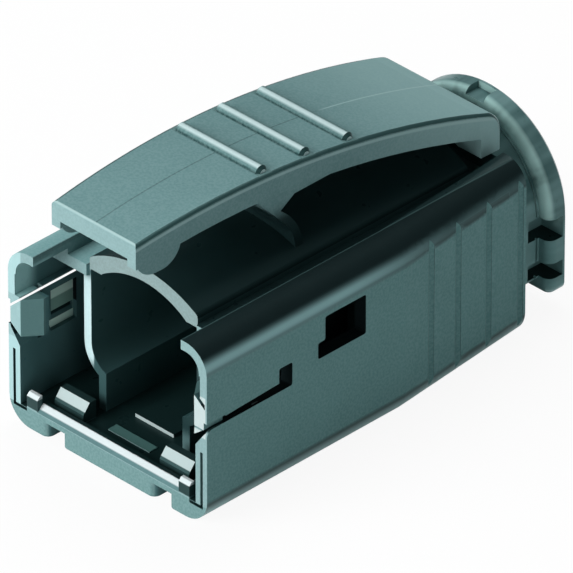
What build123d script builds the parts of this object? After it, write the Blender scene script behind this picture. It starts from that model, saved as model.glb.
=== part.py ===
from build123d import *
import math
import os

# Strain relief boot for a modular plug, moulded in one piece from a stiff, slightly springy plastic.
# X runs across the boot, Y from the mouth (Y = 0) back to the cable ring, Z up from the flat underside.
# Lengths are in millimetres.

# Housing shell
body_half_width = 7.0
side_taper = 0.85
rear_half_width = body_half_width - side_taper
straight_length = 13.9
taper_length = 9.45
body_length = straight_length + taper_length
shoulder_height = 10.3
front_shoulder_radius = 1.45
rear_shoulder_radius = 1.4
underside_radius = 1.5
overrun = 1.0

# Roof: a flat valley along each side and an arched plate between them
valley_drop = 0.9
valley_height = shoulder_height - valley_drop
shoulder_width = 1.8
valley_half_width = body_half_width - shoulder_width
rear_shoulder_width = 1.65
rear_valley_half_width = rear_half_width - rear_shoulder_width
valley_ramp_length = 0.75
valley_end = body_length - valley_ramp_length
valley_end_rise = 0.45
valley_end_height = valley_height + valley_end_rise
arch_rise = 1.52
arch_crown = valley_height + arch_rise
arch_margin = 1.4
arch_half_width = valley_half_width - arch_margin
arch_side_drop = 1.08
arch_radius = (arch_half_width ** 2 + arch_side_drop ** 2) / (2 * arch_side_drop)
arch_corner_radius = 0.3
arch_start = 2.55
arch_rear_margin = 1.75
arch_end = body_length - arch_rear_margin

# Mouth and the hollow behind it
rim_wall = 0.55
mouth_wall = 0.8
floor_height = 1.15
roof_thickness = 0.65
hollow_ceiling = valley_height - roof_thickness
mouth_shoulder_inset = 0.65
hollow_margin = 1.3
hollow_length = straight_length - hollow_margin
mouth_depth = 2.4
roof_sweep_depth = 1.5
roof_sweep_share = 0.62
lip_height = 1.55
lip_front_height = 1.2
lip_bevel_depth = 0.4
lip_depth = 0.7
lip_end_height = 2.05
lip_end_bevel = 0.18
lip_end_depth = 0.35
lip_end_inset = 1.25
lip_end_half_width = body_half_width - lip_end_inset
lip_end_width = 0.75
lip_half_width = lip_end_half_width - lip_end_width

# Cable tunnel
tunnel_roof = 0.78
tunnel_crown = arch_crown - tunnel_roof
tunnel_shelf_roof = 0.25
tunnel_shelf = valley_height - tunnel_shelf_roof
tunnel_margin = 1.48
tunnel_half_width = valley_half_width - tunnel_margin
tunnel_shelf_width = 0.76
tunnel_shelf_half_width = tunnel_half_width - tunnel_shelf_width
tunnel_crown_drop = 0.947
tunnel_radius = (tunnel_shelf_half_width ** 2 + tunnel_crown_drop ** 2) / (2 * tunnel_crown_drop)
tunnel_narrowing_height = 4.8
tunnel_step_height = 3.3
tunnel_narrowing = 1.02
tunnel_foot_half_width = tunnel_half_width - tunnel_narrowing
tunnel_rear_wall = 3.35
tunnel_end = body_length - tunnel_rear_wall
tunnel_wall = 0.5

# Blocks and strips on the floor inside the mouth
floor_block_start = 0.95
floor_block_length = 0.9
floor_block_front_height = 0.5
floor_block_height = 1.05
floor_block_slope = 0.45
floor_block_inset = 2.25
floor_block_outer = body_half_width - floor_block_inset
floor_block_width = 2.05
floor_block_inner = floor_block_outer - floor_block_width
floor_pad_start = 1.45
floor_pad_length = 0.6
floor_pad_height = 0.06
floor_pad_half_width = 1.45
floor_step_start = 3.25
floor_step_height = 0.2
floor_step_half_width = 1.35

# Keying block of each mouth side wall, with a slanted slit above it and below it
upper_wall = 0.47
key_depth = 0.88
key_inner = body_half_width - key_depth
key_setback = 0.14
key_outer = body_half_width - key_setback
key_drop = 2.8
key_inner_high = shoulder_height - key_drop
key_inner_height = 2.3
key_inner_low = key_inner_high - key_inner_height
key_slope = 0.6
key_outer_high = key_inner_high - key_slope
key_outer_height = 1.13
key_outer_low = key_outer_high - key_outer_height
key_length = 1.25
key_crest_depth = 1.6
key_crest = body_half_width - key_crest_depth
key_crest_start = 0.9
slit_width = 0.3
lower_slit_drop = 0.7
lower_slit_inner = key_inner_low - lower_slit_drop
lower_slit_width = 0.25
lower_slit_length = 3.9
mouth_corner_radius = 0.4

# Spring slot through the right wall, which widens from the mouth and ends in a square notch
slot_drop = 0.07
slot_low = key_outer_low - slot_drop
slot_height = 0.5
slot_start_height = 0.36
slot_start = 1.3
slot_end = 5.95
slot_notch_length = 0.92
slot_notch_height = 1.35
slot_mouth_height = 0.42
slot_mouth_depth = 0.22
opening_corner_radius = 0.12

# Slanted slot through the left wall and the shallow pocket inside it
left_slot_end = 4.7
left_slot_drop = 0.95
left_slot_inner_height = 0.11
left_slot_outer_low = key_inner_high - left_slot_drop
left_slot_outer_height = 0.2
left_slot_slant = 0.73
left_key_drop = 0.12
left_gap_rise = 0.2
pocket_start = 2.15
pocket_end = 3.94
pocket_drop = 3.0
pocket_low = key_inner_high - pocket_drop
pocket_height = 2.4
pocket_depth = 0.25

# L-shaped window of each side wall
window_start = 8.25
window_end = 11.1
window_drop = 1.65
window_high = shoulder_height - window_drop
window_height = 2.3
window_low = window_high - window_height
window_foot = 0.5
window_foot_height = 0.95

# Fine groove in the mouth rim
rim_groove_offset = 0.3
rim_groove_width = 0.18
rim_groove_depth = 0.9
rim_groove_low = 0.95
rim_groove_clearance = 0.2
rim_groove_top = lower_slit_inner - rim_groove_clearance

# Grip grooves of the tapered sides, placed from the front of the taper
groove_places = (2.0, 4.1, 6.5, 9.0)
groove_width = 0.5
groove_depth = 0.15
groove_low = 0.9
groove_drop = 0.7
groove_high = shoulder_height - groove_drop

# Underside grooves between the three pads
pad_groove_inset = 2.75
pad_groove_outer = body_half_width - pad_groove_inset
pad_groove_width = 0.95
pad_groove_inner = pad_groove_outer - pad_groove_width
pad_groove_depth = 0.85
pad_groove_margin = 1.9
pad_groove_length = straight_length - pad_groove_margin
pad_corner_radius = 0.4

# Neck and cable ring behind the housing, with notches that take a cable tie
bore_radius = 3.6
neck_wall = 1.15
neck_half_width = bore_radius + neck_wall
ring_flange = 0.75
ring_half_width = neck_half_width + ring_flange
bore_bottom = 1.74
ring_centre_height = bore_bottom + bore_radius
ring_bottom = 0.9
neck_bottom = 1.55
ring_corner_radius = 0.55
neck_length = 2.4
ring_start = body_length + neck_length
ring_length = 1.35
ring_end = ring_start + ring_length
ring_edge_radius = 0.5
ring_back_bevel = 0.25
ring_back_wall = 0.4
neck_notch_length = 0.8
neck_groove_distance = 0.25
neck_groove_width = 0.12
neck_groove_depth = 0.1
side_notch_drop = 1.11
side_notch_height = 1.24
foot_notch_rise = 1.05
foot_notch_height = 0.9
top_notch_low = -0.5
top_notch_high = 0.75
notch_depth = 0.75
crown_notch_depth = 0.4

# Lever
lever_front = -0.85
lever_overhang = 0.5
lever_rear = body_length + lever_overhang
lever_peak_y = 5.5
lever_rise = 4.55
lever_peak_height = arch_crown + lever_rise
lever_rear_drop = 3.345
lever_run = lever_rear - lever_peak_y
lever_arc_radius = (lever_run ** 2 + lever_rear_drop ** 2) / (2 * lever_rear_drop)
lever_thickness = 1.38
nose_thickness = 0.95
nose_length = 3.0
lever_margin = 2.25
lever_rear_half_width = rear_half_width - lever_margin
lever_taper = 0.95
lever_front_half_width = lever_rear_half_width - lever_taper
lever_edge_radius = 0.22
lever_heel_radius = 1.3
hook_length = 1.4
hook_clearance = 0.2
hook_bottom = valley_end_height + hook_clearance
hook_relief = 0.45
lobe_thickness = 0.6
lobe_drop = 2.47
lobe_corner_radius = 1.3
rim_sliver = 0.05
lever_rib_radius = 0.38
lever_rib_sink = 0.04
lever_rib_first = 7.95
lever_rib_pitch = 2.9
lever_rib_count = 3
lever_rib_end_inset = 0.33
lever_rib_bevel = 0.17

# Spring leg that carries the lever on the arched plate
leg_foot_y = 10.2
leg_knee_lead = 0.85
leg_knee_front = leg_foot_y - leg_knee_lead
leg_knee_rise = 0.88
leg_knee_height = arch_crown + leg_knee_rise
leg_rear_lead = 1.3
leg_rear_top = leg_foot_y - leg_rear_lead
leg_front_lead = 3.3
leg_front_top = leg_foot_y - leg_front_lead
leg_rear_rise = 1.0
leg_rear_height = leg_knee_height + leg_rear_rise
leg_thickness = 0.55
leg_width_allowance = 0.25
leg_half_width = lever_front_half_width + leg_width_allowance
leg_bend_share = 0.6
leg_back_share = 1.55
gusset_thickness = 0.6
gusset_drop = 2.05
gusset_low = lever_peak_height - gusset_drop
gusset_run_in = 1.0
gusset_length = 6.7
gusset_end = leg_rear_top + gusset_length

def along(face, start, end):
    """Run a face drawn across the boot (local x = X, local y = Z) from one Y to another."""
    return extrude(Plane.XZ.offset(-start) * face, amount=start - end)


def across(face, half_width):
    """Run a side profile (local x = Y, local y = Z) across the boot, the same each side."""
    return extrude(Plane.YZ * face, amount=half_width, both=True)


def upward(face, low, high):
    """Run a plan outline (local x = X, local y = Y) from one height to another."""
    return extrude(Plane.XY.offset(low) * face, amount=high - low)


def polygon(*points):
    """Flat face through the points given."""
    return make_face(Polyline(*points, close=True))


def span(x_low, x_high, y_low, y_high, z_low, z_high):
    """Plain block between three pairs of limits."""
    size = (x_high - x_low, y_high - y_low, z_high - z_low)
    middle = ((x_high + x_low) / 2, (y_high + y_low) / 2, (z_high + z_low) / 2)
    return Pos(*middle) * Box(*size)


def both_sides(piece):
    """The piece and its mirror image across the middle of the boot."""
    return piece + mirror(piece, Plane.YZ)


def shell_outline(half_width, top_radius):
    """Cross-section of the housing, rounded at the shoulders and at the underside."""
    face = Pos(0, shoulder_height / 2) * Rectangle(2 * half_width, shoulder_height)
    corners = face.vertices().sort_by(Axis.Y)
    face = fillet(corners[:2], underside_radius)
    corners = face.vertices().sort_by(Axis.Y)
    return fillet(corners[-2:], top_radius)


def make_shell():
    """Straight front of the housing and its tapering rear."""
    front_outline = shell_outline(body_half_width, front_shoulder_radius)
    rear_outline = shell_outline(rear_half_width, rear_shoulder_radius)
    front = along(front_outline, 0, straight_length)
    rear_faces = [
        Plane.XZ.offset(-straight_length) * front_outline,
        Plane.XZ.offset(-body_length) * rear_outline,
    ]
    return front + loft(rear_faces, ruled=True)


def cut_valleys():
    """Flat valley between the shoulders, which narrows with the sides and ramps up at the rear."""
    plan = polygon(
        (-valley_half_width, -overrun),
        (valley_half_width, -overrun),
        (valley_half_width, straight_length),
        (rear_valley_half_width, body_length),
        (rear_valley_half_width, body_length + overrun),
        (-rear_valley_half_width, body_length + overrun),
        (-rear_valley_half_width, body_length),
        (-valley_half_width, straight_length),
    )
    top = shoulder_height + overrun
    ramp = polygon(
        (-overrun, valley_height),
        (valley_end, valley_height),
        (body_length, valley_end_height),
        (body_length + overrun, valley_end_height),
        (body_length + overrun, top),
        (-overrun, top),
    )
    return upward(plan, valley_height, top) & across(ramp, body_half_width)


def arch_face(crown, radius, half_width, low):
    """Region under an arc of the given crown, down to a level, between two upright sides."""
    disc = Pos(0, crown - radius) * Circle(radius)
    limits = Pos(0, (crown + low) / 2) * Rectangle(2 * half_width, crown - low)
    return disc & limits


def make_arch():
    """Arched plate along the roof, with rounded side corners."""
    face = arch_face(arch_crown, arch_radius, arch_half_width, valley_height - rim_wall)
    corners = face.vertices().sort_by(Axis.Y)[-2:]
    return along(fillet(corners, arch_corner_radius), arch_start, arch_end)


def tunnel_face():
    """Keyhole section of the tunnel: arched roof, flat shelves, and sides that narrow to the foot."""
    side = Line(
        (tunnel_half_width, tunnel_shelf),
        (tunnel_half_width, tunnel_narrowing_height),
    )
    narrowing = JernArc(
        start=(tunnel_half_width, tunnel_narrowing_height),
        tangent=(0, -1),
        radius=tunnel_narrowing_height - tunnel_step_height,
        arc_size=-math.degrees(math.acos(1 - (tunnel_half_width - tunnel_foot_half_width)
                                         / (tunnel_narrowing_height - tunnel_step_height))),
    )
    foot = Polyline(
        narrowing @ 1,
        (tunnel_foot_half_width, floor_height),
        (0, floor_height),
        (0, tunnel_shelf),
        (tunnel_half_width, tunnel_shelf),
    )
    half = make_face([side, narrowing, foot])
    keyhole = half + mirror(half, Plane.YZ)
    crown = arch_face(tunnel_crown, tunnel_radius, tunnel_shelf_half_width, tunnel_shelf)
    return keyhole + crown


def make_tunnel_body():
    """Thin wall round the tunnel, which stands free in the hollow of the housing."""
    outline = offset(tunnel_face(), amount=tunnel_wall)
    wall = along(outline, arch_start, tunnel_end)
    high = (hollow_ceiling + valley_height) / 2
    return wall & span(-body_half_width, body_half_width, arch_start, tunnel_end, floor_height, high)


def make_hollow():
    """Space inside the mouth, under the shoulders and round the tunnel wall."""
    half_width = body_half_width - mouth_wall
    height = hollow_ceiling - floor_height
    face = Pos(0, floor_height + height / 2) * Rectangle(2 * half_width, height)
    corners = face.vertices().sort_by(Axis.Y)
    face = fillet(corners[-2:], mouth_shoulder_inset)
    return along(face, -overrun, hollow_length)


def make_mouth():
    """Open front: the roof is cut back in a sweep from each shoulder to the arched plate."""
    inner = body_half_width - rim_wall
    rim_radius = front_shoulder_radius - rim_wall
    top = shoulder_height - rim_wall
    face = Pos(0, (floor_height + top) / 2) * Rectangle(2 * inner, top - floor_height)
    corners = face.vertices().sort_by(Axis.Y)
    face = fillet(corners[-2:], rim_radius)
    upper = polygon(
        (-body_half_width, key_inner_high),
        (body_half_width, key_inner_high),
        (body_half_width, shoulder_height),
        (-body_half_width, shoulder_height),
    )
    rim = along(face & upper, -overrun, mouth_depth)
    reach = Line((arch_half_width, arch_start), (-arch_half_width, arch_start))
    sweep_x = arch_half_width + (valley_half_width - arch_half_width) * roof_sweep_share
    sweep_y = arch_start - roof_sweep_depth
    left = ThreePointArc(
        (-arch_half_width, arch_start),
        (-sweep_x, sweep_y),
        (-valley_half_width, 0),
    )
    front = Polyline(
        (-valley_half_width, 0),
        (-valley_half_width, -overrun),
        (valley_half_width, -overrun),
        (valley_half_width, 0),
    )
    right = ThreePointArc(
        (valley_half_width, 0),
        (sweep_x, sweep_y),
        (arch_half_width, arch_start),
    )
    sweep = upward(make_face([reach, left, front, right]), key_inner_high, arch_crown + overrun)
    return rim + sweep


def ring_outline(half_width, bottom, corner_radius):
    """Outline of the neck or ring: half round at the top, upright sides and rounded lower corners."""
    height = ring_centre_height - bottom
    lower = Pos(0, bottom + height / 2) * Rectangle(2 * half_width, height)
    corners = lower.vertices().sort_by(Axis.Y)
    lower = fillet(corners[:2], corner_radius)
    return lower + arch_face(ring_centre_height + half_width, half_width, half_width, ring_centre_height)


def make_ring():
    """Neck behind the housing and the thick ring at its end, its front edge rounded and its rear bevelled."""
    neck_face = ring_outline(neck_half_width, neck_bottom, ring_corner_radius)
    neck = along(neck_face, body_length - rim_wall, ring_start)
    ring = along(ring_outline(ring_half_width, ring_bottom, ring_corner_radius), ring_start, ring_end)
    ring = chamfer(ring.faces().sort_by(Axis.Y)[-1].edges(), ring_back_bevel)
    rounded = ring.faces().sort_by(Axis.Y)[0].edges().filter_by(GeomType.CIRCLE)
    rounded = rounded.filter_by(lambda edge: edge.radius > ring_half_width - rim_sliver)
    ring = fillet(rounded, ring_edge_radius)
    return neck + ring


def cut_neck_groove():
    """Fine groove round the neck, just in front of the ring."""
    start = ring_start - neck_groove_distance
    outer = ring_outline(neck_half_width + overrun, neck_bottom - overrun, ring_corner_radius)
    inner_width = neck_half_width - neck_groove_depth
    inner = ring_outline(inner_width, neck_bottom + neck_groove_depth, ring_corner_radius)
    return along(outer - inner, start, start + neck_groove_width)


def cut_ring_notches():
    """Notches in the neck and the front of the ring: two in each side and a stepped one in the top."""
    start = ring_start - neck_notch_length
    end = ring_end - ring_back_wall
    inner = neck_half_width - notch_depth
    outer = ring_half_width + overrun
    low = ring_centre_height - side_notch_drop
    side = span(inner, outer, start, end, low, low + side_notch_height)
    low = ring_bottom + foot_notch_rise
    foot = span(inner, outer, start, end, low, low + foot_notch_height)
    high = ring_centre_height + outer
    neck_floor = ring_centre_height + inner
    crown_floor = ring_centre_height + ring_half_width - crown_notch_depth
    top = span(top_notch_low, top_notch_high, start, ring_start, neck_floor, high)
    crown = span(top_notch_low, top_notch_high, ring_start, end, crown_floor, high)
    return both_sides(side + foot) + top + crown


def cut_bore():
    """Round outlet for the cable, from the tunnel through the ring."""
    circle = Pos(0, ring_centre_height) * Circle(bore_radius)
    return along(circle, tunnel_end - overrun, ring_end + overrun)


def lever_top(y):
    """Height of the lever's arched upper face at a place along it."""
    return lever_peak_height - lever_arc_radius + math.sqrt(lever_arc_radius ** 2 - (y - lever_peak_y) ** 2)


def arc_band(top_depth, bottom_depth, start, end):
    """Side profile between two arcs concentric with the lever's upper face."""
    centre = Pos(lever_peak_y, lever_peak_height - lever_arc_radius)
    band = centre * (Circle(lever_arc_radius - top_depth) - Circle(lever_arc_radius - bottom_depth))
    height = 2 * lever_peak_height
    return band & Pos((start + end) / 2, height / 2) * Rectangle(end - start, height)


def hook_profile():
    """Downward hook at the lever's rear end, with a rounded heel above it."""
    start = lever_rear - hook_length
    top = lever_top(start)
    face = polygon(
        (start, hook_bottom),
        (lever_rear, hook_bottom),
        (lever_rear, lever_top(lever_rear)),
        (start, top),
    )
    heel = face.vertices().sort_by(Axis.Y)[-2:].sort_by(Axis.X)[-1]
    return fillet(heel, lever_heel_radius)


def cut_hook_relief():
    """Hollow across the underside of the hook, concentric with the neck that passes below it."""
    circle = Pos(0, ring_centre_height) * Circle(neck_half_width + hook_relief)
    return along(circle, lever_rear - hook_length - overrun, lever_rear + overrun)


def lobe_profile():
    """Rounded side lobe that hangs under the nose of the lever."""
    bottom = lever_peak_height - lobe_drop
    height = lever_top(lever_front) - bottom - lever_edge_radius
    face = Pos(lever_front + nose_length / 2, bottom + height / 2) * Rectangle(nose_length, height)
    corners = face.vertices().sort_by(Axis.Y)
    return fillet(corners[:2], lobe_corner_radius)


def lever_plan(inset):
    """Plan of the lever, which widens evenly from the nose to the rear, less an inset."""
    front = lever_front_half_width - inset
    rear = lever_rear_half_width - inset
    return polygon(
        (-front, lever_front),
        (front, lever_front),
        (rear, lever_rear),
        (-rear, lever_rear),
    )


def make_lever():
    """Arched rocker: a top plate with side skirts, two nose lobes and the rear hook."""
    outer = upward(lever_plan(0), 0, lever_peak_height + overrun)
    inner = upward(lever_plan(lobe_thickness), 0, lever_peak_height)
    heel_start = lever_rear - hook_length
    plate = across(arc_band(0, nose_thickness, lever_front, heel_start), body_half_width)
    skirt = across(arc_band(0, lever_thickness, lever_front, heel_start), body_half_width) - inner
    lobes = across(lobe_profile(), body_half_width) - inner
    hook = across(hook_profile(), body_half_width) - cut_hook_relief()
    lever = (plate + skirt + lobes + hook) & outer
    upper = lever.edges().filter_by(lambda edge: edge.center().Z > lever_top(edge.center().Y) - rim_sliver)
    return fillet(upper, lever_edge_radius)


def make_lever_ribs():
    """Round grip ribs across the lever, each a rod with bevelled ends let into the upper face."""
    ribs = []
    for index in range(lever_rib_count):
        y = lever_rib_first + index * lever_rib_pitch
        share = (y - lever_front) / (lever_rear - lever_front)
        reach = lever_front_half_width + share * (lever_rear_half_width - lever_front_half_width)
        rod = Cylinder(lever_rib_radius, 2 * (reach - lever_rib_end_inset))
        rod = chamfer(rod.edges().filter_by(GeomType.CIRCLE), lever_rib_bevel)
        ribs.append(Pos(0, y, lever_top(y) - lever_rib_sink) * Rot(0, 90, 0) * rod)
    return ribs


def leg_profile():
    """Side profile of the spring leg: a wedge under the lever that thins to an upright foot."""
    top = lever_top(leg_front_top) - nose_thickness
    low = valley_height
    return make_face([
        Line((leg_front_top, top), (leg_knee_front, leg_knee_height)),
        ThreePointArc(
            (leg_knee_front, leg_knee_height),
            (leg_knee_front + leg_thickness * leg_bend_share, leg_knee_height - leg_thickness),
            (leg_foot_y - leg_thickness / 2, low),
        ),
        Line((leg_foot_y - leg_thickness / 2, low), (leg_foot_y + leg_thickness / 2, low)),
        ThreePointArc(
            (leg_foot_y + leg_thickness / 2, low),
            (leg_knee_front + leg_thickness * leg_back_share, leg_knee_height - leg_thickness),
            (leg_rear_top, leg_rear_height),
        ),
        Line((leg_rear_top, leg_rear_height), (leg_rear_top, top)),
        Line((leg_rear_top, top), (leg_front_top, top)),
    ])


def make_leg():
    """Thin leg on which the lever rocks, and the two gusset ribs behind its top."""
    leg = across(leg_profile(), leg_half_width)
    under = arc_band(nose_thickness, lever_peak_height - leg_knee_height, leg_front_top, gusset_end)
    rib = polygon(
        (leg_rear_top - leg_thickness / 2, leg_rear_height),
        (leg_rear_top, leg_rear_height),
        (leg_rear_top + gusset_run_in, gusset_low),
        (gusset_end, gusset_low),
        (gusset_end, lever_peak_height),
        (leg_rear_top - leg_thickness / 2, lever_peak_height),
    )
    inner = Plane.YZ.offset(leg_half_width - gusset_thickness)
    rib = extrude(inner * (under & rib), amount=gusset_thickness)
    return leg + both_sides(rib)


def prism(points, start, end):
    """Straight run along Y of an outline given as (X, Z) points."""
    return along(polygon(*points), start, end)


def make_lip():
    """Bevelled lip across the foot of the mouth, between two raised ends with a small bevel of their own."""
    low = floor_height - rim_wall
    bevel = across(polygon(
        (0, low),
        (0, lip_front_height),
        (lip_bevel_depth, lip_height),
        (lip_depth, lip_height),
        (lip_depth, low),
    ), lip_half_width)
    end_profile = polygon(
        (0, low),
        (0, lip_end_height - lip_end_bevel),
        (lip_end_bevel, lip_end_height),
        (lip_end_depth, lip_end_height),
        (lip_end_depth, low),
    )
    end = extrude(Plane.YZ.offset(lip_half_width) * end_profile, amount=lip_end_half_width - lip_half_width)
    return bevel + both_sides(end)


def make_floor_details():
    """Two raised blocks with inclined fronts, a shallow pad between them and a low step behind it."""
    low = floor_height - rim_wall
    profile = polygon(
        (floor_block_start, low),
        (floor_block_start, floor_height + floor_block_front_height),
        (floor_block_start + floor_block_slope, floor_height + floor_block_height),
        (floor_block_start + floor_block_length, floor_height + floor_block_height),
        (floor_block_start + floor_block_length, low),
    )
    block = extrude(Plane.YZ.offset(floor_block_inner) * profile, amount=floor_block_width)
    pad = span(
        -floor_pad_half_width, floor_pad_half_width, floor_pad_start, floor_pad_start + floor_pad_length,
        low, floor_height + floor_pad_height,
    )
    step = span(
        -floor_step_half_width, floor_step_half_width, floor_step_start, hollow_length,
        low, floor_height + floor_step_height,
    )
    return both_sides(block) + pad + step


def cut_rim_grooves():
    """Fine groove in the mouth rim, between the outer skin and the inner frame."""
    outer = body_half_width - rim_groove_offset
    inner = outer - rim_groove_width
    upright = span(inner, outer, -overrun, rim_groove_depth, rim_groove_low, rim_groove_top)
    foot = span(lip_end_half_width, outer, -overrun, rim_groove_depth,
                rim_groove_low, rim_groove_low + rim_groove_width)
    return both_sides(upright + foot)


def cut_upper_walls():
    """Thinner wall above each keying block, inside the mouth."""
    inner = body_half_width - upper_wall
    recess = span(
        body_half_width - mouth_wall - overrun, inner, -overrun, hollow_length / 2,
        key_inner_high, hollow_ceiling,
    )
    return both_sides(recess)


def key_block(drop):
    """Keying block of the right wall, wider inside than outside, with a slanted guide face."""
    block = prism([
        (key_inner, key_inner_low),
        (key_inner, key_inner_high - drop),
        (key_outer, key_outer_high - drop),
        (key_outer, key_outer_low),
    ], 0, key_length)
    guide = polygon(
        (key_inner, 0),
        (key_crest, key_crest_start),
        (key_crest, key_length),
        (key_inner, key_length),
    )
    return block + upward(guide, key_inner_low, key_inner_high - drop)


def make_keys():
    """Keying block on each side; the left one is lower, as the slanted slot passes above it."""
    return key_block(0) + mirror(key_block(left_key_drop), Plane.YZ)


def cut_key_slits():
    """Slanted slits that free each keying block from the wall above and below it."""
    outer = body_half_width - key_setback
    reach = key_inner - overrun
    slope = (key_inner_high - key_outer_high) / (key_outer - key_inner)
    upper = prism([
        (reach, key_inner_high + overrun * slope),
        (outer, key_outer_high),
        (outer, key_outer_high + slit_width),
        (reach, key_inner_high + overrun * slope + slit_width),
    ], -overrun, key_length)
    behind = span(reach, (key_inner + outer) / 2, key_length, key_length + slit_width,
                  lower_slit_inner, key_inner_high)
    lower = prism([
        (reach, key_inner_low),
        (key_inner, key_inner_low),
        (outer, key_outer_low),
        (outer, key_outer_low - lower_slit_width),
        (key_inner, lower_slit_inner),
        (reach, lower_slit_inner),
    ], -overrun, lower_slit_length)
    return upper + both_sides(lower + behind)


def cut_right_slot():
    """Spring slot and square notch through the right wall, and the rounded corner at its mouth."""
    reach = body_half_width - mouth_wall - overrun
    face = body_half_width + overrun
    slot_high = slot_low + slot_height
    notch_start = slot_end - slot_notch_length
    notch_high = slot_low + slot_notch_height
    outline = polygon(
        (slot_start, slot_low),
        (slot_end, slot_low),
        (slot_end, notch_high),
        (notch_start, notch_high),
        (notch_start, slot_high),
        (slot_start, slot_low + slot_start_height),
    )
    notch_corners = outline.vertices().filter_by(lambda corner: corner.X > notch_start + rim_sliver)
    notch_corners += outline.vertices().sort_by(Axis.Y)[-2:].sort_by(Axis.X)[:1]
    outline = fillet(notch_corners, opening_corner_radius)
    slot = extrude(Plane.YZ.offset(reach) * outline, amount=face - reach)
    mouth = span(body_half_width - slot_mouth_depth, face, -overrun, slot_start,
                 slot_low, slot_low + slot_mouth_height)
    corner = make_face([
        JernArc(start=(0, slot_low - mouth_corner_radius), tangent=(0, 1), radius=mouth_corner_radius,
                arc_size=-90),
        Polyline(
            (mouth_corner_radius, slot_low),
            (-overrun, slot_low),
            (-overrun, slot_low - mouth_corner_radius),
            (0, slot_low - mouth_corner_radius),
        ),
    ])
    corner = extrude(Plane.YZ.offset(reach) * corner, amount=face - reach)
    return slot + mouth + corner


def cut_left_slot():
    """Slanted slot through the left wall, the setback of its block and the pocket inside."""
    inner = body_half_width - mouth_wall - overrun
    outer = body_half_width + overrun
    inner_low = left_slot_outer_low + left_slot_slant
    rise = left_slot_slant / mouth_wall * overrun
    slot = prism([
        (-outer, left_slot_outer_low - rise),
        (-inner, inner_low + rise),
        (-inner, inner_low + left_slot_inner_height + rise),
        (-outer, left_slot_outer_low + left_slot_outer_height - rise),
    ], -overrun, left_slot_end)
    setback_low = key_outer_low - lower_slit_width / 2
    setback_high = key_outer_high + left_gap_rise
    setback = span(-outer, key_setback - body_half_width, -overrun, key_length, setback_low, setback_high)
    pocket = span(
        -body_half_width + mouth_wall - pocket_depth, -inner, pocket_start, pocket_end,
        pocket_low, pocket_low + pocket_height,
    )
    return slot + setback + pocket


def cut_windows():
    """L-shaped window with rounded corners through each side wall."""
    reach = body_half_width - mouth_wall - overrun
    outline = polygon(
        (window_start - window_foot, window_low),
        (window_end, window_low),
        (window_end, window_high),
        (window_start, window_high),
        (window_start, window_low + window_foot_height),
        (window_start - window_foot, window_low + window_foot_height),
    )
    outline = fillet(outline.vertices(), opening_corner_radius)
    window = extrude(Plane.YZ.offset(reach) * outline, amount=mouth_wall + 2 * overrun)
    return both_sides(window)


def cut_grip_grooves():
    """Shallow upright grooves across the tapering sides."""
    taper = (body_half_width - rear_half_width) / (body_length - straight_length)
    grooves = []
    for place in groove_places:
        y = straight_length + place
        x = body_half_width - place * taper
        plan = polygon(
            (x - groove_depth, y),
            (x + groove_width * taper, y - groove_width / 2),
            (x + groove_width, y),
            (x - groove_width * taper, y + groove_width / 2),
        )
        grooves.append(both_sides(upward(plan, groove_low, groove_high)))
    return grooves


def cut_pad_grooves():
    """Two grooves along the underside, which leave three pads, their front corners rounded."""
    outer = pad_groove_outer + pad_corner_radius
    inner = pad_groove_inner - pad_corner_radius
    plan = make_face([
        Polyline(
            (inner, 0),
            (inner, -overrun),
            (outer, -overrun),
            (outer, 0),
        ),
        JernArc(start=(outer, 0), tangent=(-1, 0), radius=pad_corner_radius, arc_size=-90),
        Polyline(
            (pad_groove_outer, pad_corner_radius),
            (pad_groove_outer, pad_groove_length),
            (pad_groove_inner, pad_groove_length),
            (pad_groove_inner, pad_corner_radius),
        ),
        JernArc(start=(inner, 0), tangent=(1, 0), radius=pad_corner_radius, arc_size=90),
    ])
    return both_sides(upward(plan, -overrun, pad_groove_depth))


def make_boot():
    """The whole moulding."""
    boot = make_shell() - cut_valleys()
    boot += make_arch()
    boot -= make_hollow()
    boot -= make_mouth()
    boot -= cut_upper_walls()
    boot += make_tunnel_body()
    boot -= along(tunnel_face(), arch_start - overrun, tunnel_end)
    boot -= cut_key_slits()
    boot += make_keys()
    boot += make_lip()
    boot += make_floor_details()
    boot -= cut_rim_grooves()
    boot -= cut_right_slot()
    boot -= cut_left_slot()
    boot -= cut_windows()
    boot -= cut_pad_grooves()
    for groove in cut_grip_grooves():
        boot -= groove
    boot += make_ring()
    boot -= cut_neck_groove()
    boot -= cut_ring_notches()
    boot -= cut_bore()
    boot += make_lever()
    for rib in make_lever_ribs():
        boot += rib
    boot += make_leg()
    return boot


boot = make_boot()
os.makedirs("parts", exist_ok=True)
export_step(boot, "parts/boot.step")
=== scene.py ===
import math

import bpy
from mathutils import Matrix, Vector

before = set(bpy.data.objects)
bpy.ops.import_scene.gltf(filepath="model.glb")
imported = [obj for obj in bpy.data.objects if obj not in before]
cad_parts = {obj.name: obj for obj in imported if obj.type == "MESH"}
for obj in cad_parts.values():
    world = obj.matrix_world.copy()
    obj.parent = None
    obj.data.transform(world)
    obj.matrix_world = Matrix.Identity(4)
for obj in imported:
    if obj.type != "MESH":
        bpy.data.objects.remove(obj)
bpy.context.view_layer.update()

# Camera
# The boot is seen from the front right and above, with the mouth towards the left of the picture.
# A long lens stands far back, as in a catalogue picture, so that parallel edges stay parallel.

turn = math.radians(45.0)
lift = math.radians(33.2)
level = math.cos(lift)
forward = Vector((-math.sin(turn) * level, math.cos(turn) * level, -math.sin(lift)))
across = Vector((math.cos(turn), math.sin(turn), 0.0))
upward = across.cross(forward)
camera_distance = 0.7444
corner_left = -0.011907
corner_down = -0.012380
camera_place = -camera_distance * (forward + corner_left * across + corner_down * upward)

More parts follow.
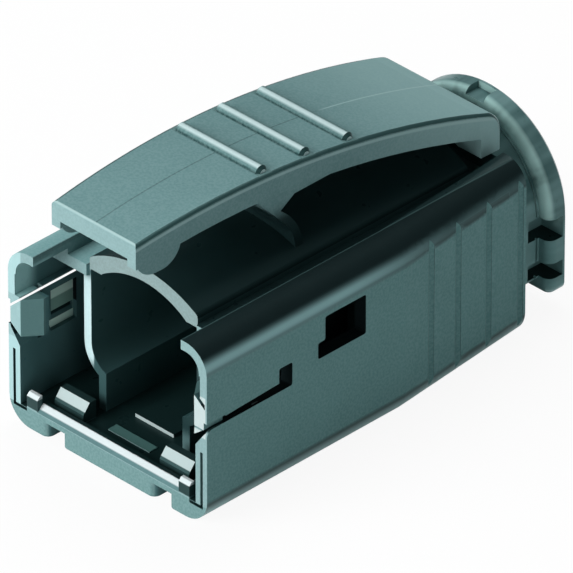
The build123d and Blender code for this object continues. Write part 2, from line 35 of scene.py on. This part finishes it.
camera_data = bpy.data.cameras.new("camera")
camera_data.sensor_width = 36.0
camera_data.lens = 942.4
camera_data.clip_start = 0.05
camera_data.clip_end = 20.0
camera = bpy.data.objects.new("camera", camera_data)
camera.matrix_world = Matrix((
    (across.x, upward.x, -forward.x, camera_place.x),
    (across.y, upward.y, -forward.y, camera_place.y),
    (across.z, upward.z, -forward.z, camera_place.z),
    (0.0, 0.0, 0.0, 1.0),
))
bpy.context.collection.objects.link(camera)
bpy.context.scene.camera = camera

# The moulded boot
# One moulding in grey-green plastic: housing, cable ring, lever and the spring leg that carries it.
# The mould is spark-eroded at the sides, underside and lever, which come out matt and paler, and
# polished at the shoulders, roof, ring and hollow, which come out dark and glossy.


class Link:
    """An output of a shader node. Sums and products of links add their Math nodes."""

    def __init__(self, finish, socket):
        self.finish = finish
        self.socket = socket

    def math(self, operation, *values):
        return self.finish.node("ShaderNodeMath", {"operation": operation}, dict(enumerate(values)))

    def __add__(self, other):
        return self.math("ADD", self, other)

    __radd__ = __add__

    def __mul__(self, other):
        return self.math("MULTIPLY", self, other)

    __rmul__ = __mul__

    def __sub__(self, other):
        return self.math("SUBTRACT", self, other)

    def __rsub__(self, other):
        return self.math("SUBTRACT", other, self)

    def size(self):
        return self.math("ABSOLUTE", self)

    def sign(self):
        return self.math("SIGN", self)

    def either(self, other):
        return self.math("MAXIMUM", self, other)

    def rise(self, start, end):
        """0 below start and 1 above end, with a soft step between."""
        values = {"Value": self, "From Min": start, "From Max": end, "To Min": 0.0, "To Max": 1.0}
        return self.finish.node("ShaderNodeMapRange", {"interpolation_type": "SMOOTHSTEP"}, values)

    def below(self, start, end):
        return 1 - self.rise(start, end)

    def within(self, low, high, soft=0.03):
        """1 between two limits and 0 outside them, with soft edges."""
        return self.rise(low - soft, low + soft) * self.below(high - soft, high + soft)


class Finish:
    """A surface finish, or the room's air: a node tree whose nodes are added one at a time."""

    def __init__(self, owner):
        self.owner = owner
        self.owner.use_nodes = True
        self.tree = self.owner.node_tree
        self.tree.nodes.clear()

    def node(self, kind, settings, values, output=0):
        """Add a node, set its settings and then its sockets, and return one of its outputs."""
        made = self.tree.nodes.new(kind)
        for name, value in settings.items():
            setattr(made, name, value)
        for name, value in values.items():
            socket = made.inputs[name]
            if isinstance(value, Link):
                self.tree.links.new(value.socket, socket)
            else:
                socket.default_value = value
        return Link(self, made.outputs[output]) if made.outputs else None

    def mix(self, share, low, high):
        return self.node("ShaderNodeMix", {"data_type": "RGBA"}, {0: share, 6: low, 7: high}, 2)

    def coat(self, tone, coats):
        """Lay coats of colour over a tone, each as far as its own share."""
        for share, colour in coats:
            tone = self.mix(share, tone, colour)
        return tone


plastic = Finish(bpy.data.materials.new("boot_plastic"))
millimetres = 1000.0
place = plastic.node("ShaderNodeTexCoord", {}, {}, "Object")
facing = plastic.node("ShaderNodeTexCoord", {}, {}, "Normal")
place_mm = plastic.node("ShaderNodeVectorMath", {"operation": "SCALE"},
                        {0: place, "Scale": millimetres})
x, y, z = (plastic.node("ShaderNodeSeparateXYZ", {}, {0: place_mm}, axis) for axis in range(3))
face_x, face_y, face_z = (
    plastic.node("ShaderNodeSeparateXYZ", {}, {0: facing}, axis) for axis in range(3))
side = x.size()
outward = face_x * x.sign()
frontward = 0 - face_y
downward = 0 - face_z

# Each mask below picks out one part of the moulding. A pair of numbers is a soft step: where it
# starts and where it ends, as a place in millimetres or, for a face, as the part of its normal.

# The lever stands clear of the roof with its hook. Its leg's foot keeps the roof's dark tone as
# painted shade under the lever, fading out upwards.
clear_of_roof = z.rise(11.1, 11.2)
leg_front, leg_back = 6.0, 10.9
leg_shade_fade = (12.1, 13.5)
hook_front, hook_back = 22.35, 24.05
hook_bottom = (10.0, 10.02)
hook_side = (3.94, 3.96)
leg_foot_shade = y.within(leg_front, leg_back) * z.below(*leg_shade_fade)
hook = y.within(hook_front, hook_back) * z.rise(*hook_bottom) * side.below(*hook_side)
lever = (clear_of_roof * (1 - leg_foot_shade)).either(hook)

# A slow drift of shade runs through the plastic. It is darkest on the polished roof and shoulders.
drift = plastic.node("ShaderNodeTexNoise", {}, {"Vector": place_mm, "Scale": 0.45, "Detail": 3.0})
roof_tone = plastic.mix(drift, (0.008, 0.020, 0.021, 1.0), (0.013, 0.030, 0.031, 1.0))

# The hollow is polished too, in a middle tone. The tunnel and what shows behind the windows are
# painted dark as shade deep inside, and the left wall a little darker as shade.
hollow_back = (22.0, 22.1)
hollow_side = (6.55, 6.6)
hollow_top = (10.05, 10.1)
roof_skin = z.rise(9.3, 9.38) * face_z.rise(-0.1, 0.1)
inside = y.below(*hollow_back) * side.below(*hollow_side) * (1 - roof_skin) * z.below(*hollow_top)
left_wall_shade = inside * x.below(0.0, 1.0) * 0.15
tunnel = inside * side.below(3.95, 4.0) * y.rise(2.57, 2.6)
window_depth_shade = x.rise(3.9, 4.0) * inside * y.rise(2.6, 2.7)
inside_tone = plastic.mix(drift, (0.055, 0.130, 0.136, 1.0), (0.080, 0.170, 0.175, 1.0))
tone = plastic.coat(roof_tone, (
    (inside, inside_tone),
    (left_wall_shade, (0.010, 0.030, 0.032, 1.0)),
    (tunnel, (0.034, 0.080, 0.082, 1.0)),
    (window_depth_shade, (0.006, 0.014, 0.014, 1.0)),
))

# The floor is black with polish, and a shallow pad stands on it.
pad_front, pad_back = 1.45, 2.05
pad_side = (1.45, 1.47)
floor_face = inside * face_z.rise(0.8, 0.95) * z.below(1.6, 1.7)
floor_pad = floor_face * z.rise(1.18, 1.2) * y.within(pad_front, pad_back) * side.below(*pad_side)

# The pocket in the left wall is painted paler as light on it, with painted highlights on its edges
# round a band left in shade. The roof curls over the wall in front of it and is painted pale there
# as light, and the roof's left side is painted paler as a reflection of light from the left.
pocket_front, pocket_back = 2.15, 3.94
pocket_bottom, pocket_top = 4.5, 6.95
shade_bottom, shade_top = 4.95, 6.17
pocket = (x.within(-6.5, -6.3) * y.within(pocket_front, pocket_back)
          * z.within(pocket_bottom, pocket_top) * outward.below(-0.9, -0.8))
pocket_light = pocket * (1 - z.within(shade_bottom, shade_top, 0.05))
curl_length = (0.8, 1.7)
curl_bottom, curl_top = (7.4, 7.5), (9.8, 10.0)
roof_curl_light = (x.within(-6.6, -4.9) * y.rise(0.02, 0.06) * y.below(*curl_length)
             * z.rise(*curl_bottom) * z.below(*curl_top))
left_roof_reflection = x.below(-3.95, -3.85) * roof_skin * y.below(23.3, 23.4)
tone = plastic.coat(tone, (
    (floor_face, (0.008, 0.022, 0.022, 1.0)),
    (floor_pad, (0.075, 0.170, 0.160, 1.0)),
    (pocket, (0.190, 0.340, 0.295, 1.0)),
    (pocket_light, (0.520, 0.740, 0.660, 1.0)),
    (roof_curl_light, (0.260, 0.460, 0.460, 1.0)),
    (left_roof_reflection, (0.140, 0.275, 0.280, 1.0)),
))

# The cable ring's skin carries painted streaks of sheen drawn out along its axis, and a painted
# highlight on its round front edge. The neck is painted darker on top as shade by the hook, the
# lower half paler, the back plain and the notches painted dark as shade.
ring_height = 5.34
ring_edge_radius = (4.5, 5.0)
ring_front = (25.5, 25.6)
notch_bottom, notch_top = 0.3, 5.3
ring = y.rise(23.4, 23.5) * (1 - lever)
above_axis = z - ring_height
from_axis = x * x + above_axis * above_axis
ring_radius = from_axis.math("SQRT", from_axis)
ring_edge_highlight = (ring * frontward.rise(0.1, 0.7) * ring_radius.rise(*ring_edge_radius)
             * y.rise(*ring_front))
ring_notch_shade = (ring * face_z.size().rise(0.8, 0.95) * z.within(notch_bottom, notch_top)
              * y.rise(24.5, 24.6))
drawn_out = plastic.node("ShaderNodeVectorMath", {"operation": "MULTIPLY"},
                         {0: place_mm, 1: (1.0, 0.15, 1.0)})
streaks = plastic.node("ShaderNodeTexNoise", {}, {"Vector": drawn_out, "Scale": 0.9, "Detail": 2.0})
ring_dark, ring_sheen = (0.050, 0.110, 0.110, 1.0), (0.150, 0.270, 0.270, 1.0)
ring_tone = plastic.mix(streaks.rise(0.3, 0.7), ring_dark, ring_sheen)
ring_tone = plastic.coat(ring_tone, (
    (ring * z.below(4.5, 6.0) * 0.6, (0.150, 0.290, 0.290, 1.0)),
    (ring_edge_highlight * z.rise(4.0, 6.5) * streaks.rise(0.1, 0.55), (0.440, 0.680, 0.650, 1.0)),
    (y.below(25.5, 25.7) * z.rise(7.5, 9.0) * 0.7, (0.020, 0.045, 0.045, 1.0)),
    (face_y.rise(0.4, 0.8) * 0.8, (0.110, 0.220, 0.220, 1.0)),
    (ring_notch_shade, (0.012, 0.028, 0.028, 1.0)),
))
# A painted highlight runs along the inner top edge of each shoulder.
shoulder_edge_highlight = side.within(5.18, 5.26, 0.02) * z.rise(10.2, 10.28)
tone = plastic.coat(tone, (
    (ring, ring_tone),
    (shoulder_edge_highlight, (0.060, 0.120, 0.120, 1.0)),
))

# The lever's top is one arc. A thin parting line runs along it, and its long edges are painted dark
# as the dark their polished rounding reflects, with a painted highlight line under each. Its nose
# and heel have painted highlights, it grows paler towards the heel as painted light, and the hook
# is painted a little paler as light on it.
arc_middle = 5.5
arc_centre_height = -36.535
arc_radius = 52.005
arc_height = z - arc_centre_height
arc_reach = (y - arc_middle) * (y - arc_middle) + arc_height * arc_height
depth = arc_radius - arc_reach.math("SQRT", arc_reach)
highlight_line = face_x.size().rise(0.93, 0.97) * lever * depth.within(0.2, 0.36, 0.04)
lever_edge_shade = face_x.size().within(0.2, 0.93, 0.06) * clear_of_roof
parting = side.below(0.02, 0.06) * lever * face_z.rise(0.8, 0.9) * 0.6
heel = face_y.rise(0.4, 0.7) * y.rise(22.5, 22.6) * clear_of_roof
nose = frontward.within(0.25, 0.85, 0.1) * y.below(-0.5, -0.45) * z.rise(14.5, 14.6)
dark_edge = (0.030, 0.070, 0.070, 1.0)
heel_highlight_tone = (0.260, 0.420, 0.420, 1.0)
lever_tone = plastic.mix(drift, (0.105, 0.205, 0.210, 1.0), (0.130, 0.240, 0.245, 1.0))
lever_tone = plastic.mix(y.rise(13.0, 23.0) * 0.7, lever_tone, heel_highlight_tone)
tone = plastic.coat(tone, (
    (lever, lever_tone),
    (hook * 0.15, (0.300, 0.500, 0.500, 1.0)),
    (parting * y.below(14.0, 15.0), dark_edge),
    (parting * y.rise(14.5, 15.5), (0.350, 0.500, 0.500, 1.0)),
    (lever_edge_shade, dark_edge),
    (highlight_line * 0.7, (0.300, 0.450, 0.450, 1.0)),
    (nose, (0.300, 0.430, 0.430, 1.0)),
    (heel, heel_highlight_tone),
))

# Three round ribs cross the lever, each with a painted highlight on its crown, a painted shadow
# line at its foot, and painted shade on the bevel round a painted highlight on its end.
rib_first, rib_pitch = 7.95, 2.9
rib_sink = 0.04
rib_radius = (0.42, 0.46)
ribs_front, ribs_back = 7.3, 14.4
from_first = y - (rib_first - rib_pitch / 2)
rib_step = from_first.math("MODULO", from_first, rib_pitch) - rib_pitch / 2
rib_rise = depth - rib_sink
rib_reach = rib_step * rib_step + rib_rise * rib_rise
rib_distance = rib_reach.math("SQRT", rib_reach)
rib = y.within(ribs_front, ribs_back) * rib_distance.below(*rib_radius) * depth.below(0.0, 0.05)
rib_crown_highlight = rib * rib_step.within(-0.22, 0.04, 0.07) * depth.below(-0.2, -0.1)
rib_foot_shadow = rib * face_z.below(0.3, 0.6)
rib_bevel_shade = rib * face_x.size().within(0.3, 0.9, 0.05)
rib_end_highlight = rib * face_x.size().rise(0.9, 0.95)
tone = plastic.coat(tone, (
    (rib, (0.085, 0.165, 0.165, 1.0)),
    (rib_crown_highlight, (0.420, 0.540, 0.545, 1.0)),
    (rib_foot_shadow, (0.015, 0.045, 0.045, 1.0)),
    (rib_bevel_shade, (0.020, 0.050, 0.050, 1.0)),
    (rib_end_highlight, (0.400, 0.550, 0.550, 1.0)),
))

# The outer sides and the rear face are eroded, and the sloping sides of the finger grooves are
# painted darker as shade.
flat_side = outward.rise(0.5, 0.6) * face_z.size().below(0.04, 0.16) * side.rise(5.95, 6.05)
rear_face = face_y.rise(0.6, 0.95) * y.within(22.5, 23.6) * z.below(10.6, 10.7)
groove = outward.within(0.6, 0.93) * flat_side * 0.12
underside = downward.rise(0.9, 0.98) * z.below(1.0, 1.1)
side_tone = plastic.mix(drift, (0.085, 0.190, 0.190, 1.0), (0.105, 0.225, 0.225, 1.0))

# The flat faces round the mouth are painted paler as light falling on them from the front, and the
# left rim paler still, less so beside the key. Behind them stands the tunnel wall, which is dark:
# its left edge has a painted highlight, its right part is painted darker still as shade, the foot
# of that part less dark, and the arch above it is painted pale as light from the front.
mouth_face = frontward.rise(0.55, 0.9) * y.below(3.4, 3.5)
wall_plane = mouth_face * y.within(2.5, 2.6)
wall_front = wall_plane * side.within(2.6, 4.5) * z.below(9.0, 9.2)
wall_right = wall_front * x.rise(0.0, 1.0)
wall_foot = wall_right * z.below(1.9, 2.9)
wall_left_highlight = wall_front * x.below(-3.6, -3.5) * z.within(3.6, 8.6, 0.4)
arch_front_light = wall_plane * z.rise(9.0, 9.2)
sill_face = mouth_face * z.below(1.14, 1.16)
key_bottom, key_top = 5.0, 7.6
left_rim_light = mouth_face * x.below(-6.15, -6.05) * (1 - 0.6 * z.within(key_bottom, 7.5))
key_guide = side.within(5.3, 6.15) * y.below(1.0, 1.1) * z.within(key_bottom, key_top)
mouth_light_tone = plastic.mix(drift, (0.150, 0.245, 0.250, 1.0), (0.190, 0.295, 0.300, 1.0))
tone = plastic.coat(tone, (
    (flat_side.either(rear_face), side_tone),
    (groove, dark_edge),
    (mouth_face, mouth_light_tone),
    (left_rim_light, (0.280, 0.430, 0.440, 1.0)),
    (wall_front, (0.030, 0.068, 0.070, 1.0)),
    (wall_right, (0.012, 0.030, 0.031, 1.0)),
    (wall_foot, (0.075, 0.140, 0.142, 1.0)),
    (wall_left_highlight, (0.420, 0.560, 0.570, 1.0)),
    (arch_front_light, (0.170, 0.235, 0.235, 1.0)),
    (sill_face, (0.110, 0.205, 0.205, 1.0)),
    (key_guide, (0.080, 0.160, 0.160, 1.0)),
))

# A painted highlight runs in a soft band along the bend under each shoulder, and fades to the rear.
# The bend at the foot of each side has a painted highlight too.
shoulder_highlight_band = (face_z.rise(0.0, 0.3) * face_z.below(0.36, 0.68) * side.rise(5.6, 5.8)
                 * z.within(8.8, 10.4) * (1 - 0.8 * y.rise(9.0, 18.0)))
foot_bend_highlight = downward.rise(0.02, 0.6) * z.below(1.45, 1.55) * outward.rise(0.3, 0.4)

# The floor blocks and the lip's raised ends are dark, and each has one facet with a painted
# highlight, as do the lip's long bevel, the front of the step and the key at the right.
lip_end_inner, lip_end_outer = 4.99, 5.77
block_front, block_back = 0.9, 1.9
block_inner, block_outer = 2.6, 4.8
lip_bevel_highlight = (y.below(0.42, 0.46) * z.within(1.34, 1.6) * face_z.rise(0.3, 0.5)
             * side.below(5.0, 5.05))
lip_end = y.below(0.38, 0.42) * z.within(1.25, 2.1) * side.within(lip_end_inner, lip_end_outer)
lip_end_highlight = lip_end * z.rise(1.84, 1.9)
block = (y.within(block_front, block_back) * z.within(1.17, 2.3)
         * side.within(block_inner, block_outer))
block_facet_highlight = block * y.below(1.4, 1.42) * z.rise(1.76, 1.8) * frontward.rise(0.5, 0.7)
key_front_highlight = mouth_face * y.below(0.05, 0.1) * x.within(6.05, 6.9) * z.within(5.2, key_top)
step_front_highlight = mouth_face * y.within(3.2, 3.3) * z.below(1.36, 1.38)
dark_mass = block.either(lip_end)
tone = plastic.coat(tone, (
    (shoulder_highlight_band, (0.240, 0.420, 0.430, 1.0)),
    (foot_bend_highlight, (0.350, 0.520, 0.520, 1.0)),
    (dark_mass, (0.015, 0.035, 0.035, 1.0)),
    (block_facet_highlight.either(key_front_highlight).either(step_front_highlight), (0.380, 0.450, 0.450, 1.0)),
    (lip_bevel_highlight.either(lip_end_highlight), (0.560, 0.620, 0.630, 1.0)),
))

# The eroded skin is matt, with a fine leather-like grain and a pale fleck. The polished one is
# glossy with faint ripples, and duller on the shoulders, which the near-black shader below also
# paints dark as the dark they reflect.
eroded = (lever * (1 - lever_edge_shade)).either(flat_side).either(underside).either(mouth_face)
eroded = eroded.either(left_roof_reflection).either(rear_face)
eroded = eroded * (1 - dark_mass.either(wall_front - wall_left_highlight))
shoulder = side.rise(5.1, 5.3) * z.rise(8.9, 9.1) * (1 - eroded) * face_z.rise(0.35, 0.7)
fleck = plastic.node("ShaderNodeTexNoise", {}, {"Vector": place_mm, "Scale": 7.0, "Detail": 2.0})
grain = plastic.node("ShaderNodeTexNoise", {}, {"Vector": place_mm, "Scale": 9.0, "Detail": 4.0})
ripple = plastic.node("ShaderNodeTexNoise", {}, {"Vector": place_mm, "Scale": 1.3, "Detail": 2.0})
tone = plastic.mix(eroded * fleck.rise(0.35, 0.65) * 0.15, tone, (0.300, 0.430, 0.430, 1.0))
roughness = 0.25 + 0.08 * ripple + eroded * (0.3 + 0.1 * grain) + shoulder * 0.3
relief = grain * eroded + ripple * (1 - eroded) * 0.5
bump = plastic.node("ShaderNodeBump", {}, {"Strength": 0.25, "Distance": 0.00003, "Height": relief})
skin = plastic.node("ShaderNodeBsdfPrincipled", {}, {
    "Base Color": tone,
    "Roughness": roughness,
    "Normal": bump,
    "Specular IOR Level": 0.16,
    "Specular Tint": (0.5, 1.0, 1.0, 1.0),
})

# Deep in the windows and slots a near-black shader paints the shade where no light comes back.
slot = y.within(1.2, 6.05) * z.within(5.5, 7.15)
window = y.within(7.6, 11.2) * z.within(6.2, 8.75)
hole = side.within(6.15, 6.985, 0.01) * face_x.size().below(0.3, 0.6) * window.either(slot)
deep = plastic.node("ShaderNodeBsdfPrincipled", {}, {
    "Base Color": (0.004, 0.009, 0.010, 1.0),
    "Roughness": 0.8,
    "Specular IOR Level": 0.05,
})
# The shoulders are mostly painted with the near-black shader too, as the dark their polish
# reflects.
deep_share = hole.either(shoulder * 0.65)
shader = plastic.node("ShaderNodeMixShader", {}, {0: deep_share, 1: skin, 2: deep})
plastic.node("ShaderNodeOutputMaterial", {}, {"Surface": shader})

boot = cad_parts["boot"]
boot.data.materials.clear()
boot.data.materials.append(plastic.owner)

# Floor
# A plain white sheet that the boot stands on, wide enough to fill every view.
# The camera sees it nearly white, and it still takes the boot's soft shadow.

floor_half = 1.5
glow_share = 0.92
floor_mesh = bpy.data.meshes.new("floor")
floor_mesh.from_pydata(
    [(-floor_half, -floor_half, 0.0), (floor_half, -floor_half, 0.0),
     (floor_half, floor_half, 0.0), (-floor_half, floor_half, 0.0)],
    [], [(0, 1, 2, 3)])
floor = bpy.data.objects.new("floor", floor_mesh)
bpy.context.collection.objects.link(floor)
sheet = Finish(bpy.data.materials.new("floor_sheet"))
seen = sheet.node("ShaderNodeLightPath", {}, {}, "Is Camera Ray")
matt = sheet.node("ShaderNodeBsdfDiffuse", {}, {"Color": (0.85, 0.85, 0.85, 1.0)})
glow = sheet.node("ShaderNodeEmission", {}, {"Color": (1.0, 1.0, 1.0, 1.0), "Strength": 1.0})
blend = sheet.node("ShaderNodeMixShader", {}, {0: seen * glow_share, 1: matt, 2: glow})
sheet.node("ShaderNodeOutputMaterial", {}, {"Surface": blend})
floor_mesh.materials.append(sheet.owner)

# Lamps
# A broad soft box in front of the mouth, a weaker one overhead and a faint one at the right,
# with a dim room all round. What the camera sees of the room is white.

boot_middle = Vector((0.0, 0.013, 0.006))
lamp_distance = 0.3


def soft_box(name, direction, power, width):
    """A square soft box that points at the middle of the boot from the direction given."""
    data = bpy.data.lights.new(name, "AREA")
    data.shape = "SQUARE"
    data.size = width
    data.energy = power
    lamp = bpy.data.objects.new(name, data)
    away = Vector(direction).normalized()
    lamp.location = boot_middle + away * lamp_distance
    lamp.rotation_euler = away.to_track_quat("Z", "Y").to_euler()
    bpy.context.collection.objects.link(lamp)


soft_box("front_box", direction=(-0.30, -0.90, 0.38), power=1.30, width=0.22)
soft_box("top_box", direction=(-0.30, 0.40, 1.0), power=0.55, width=0.22)
soft_box("right_box", direction=(0.95, -0.35, 0.35), power=0.08, width=0.16)

room = bpy.data.worlds.new("room")
bpy.context.scene.world = room
air = Finish(room)
seen = air.node("ShaderNodeLightPath", {}, {}, "Is Camera Ray")
dim = air.node("ShaderNodeBackground", {}, {"Color": (0.9, 0.97, 1.0, 1.0), "Strength": 0.15})
white = air.node("ShaderNodeBackground", {}, {"Color": (1.0, 1.0, 1.0, 1.0), "Strength": 1.0})
backdrop = air.node("ShaderNodeMixShader", {}, {0: seen, 1: dim, 2: white})
air.node("ShaderNodeOutputWorld", {}, {"Surface": backdrop})

bpy.context.scene.view_settings.view_transform = "Standard"
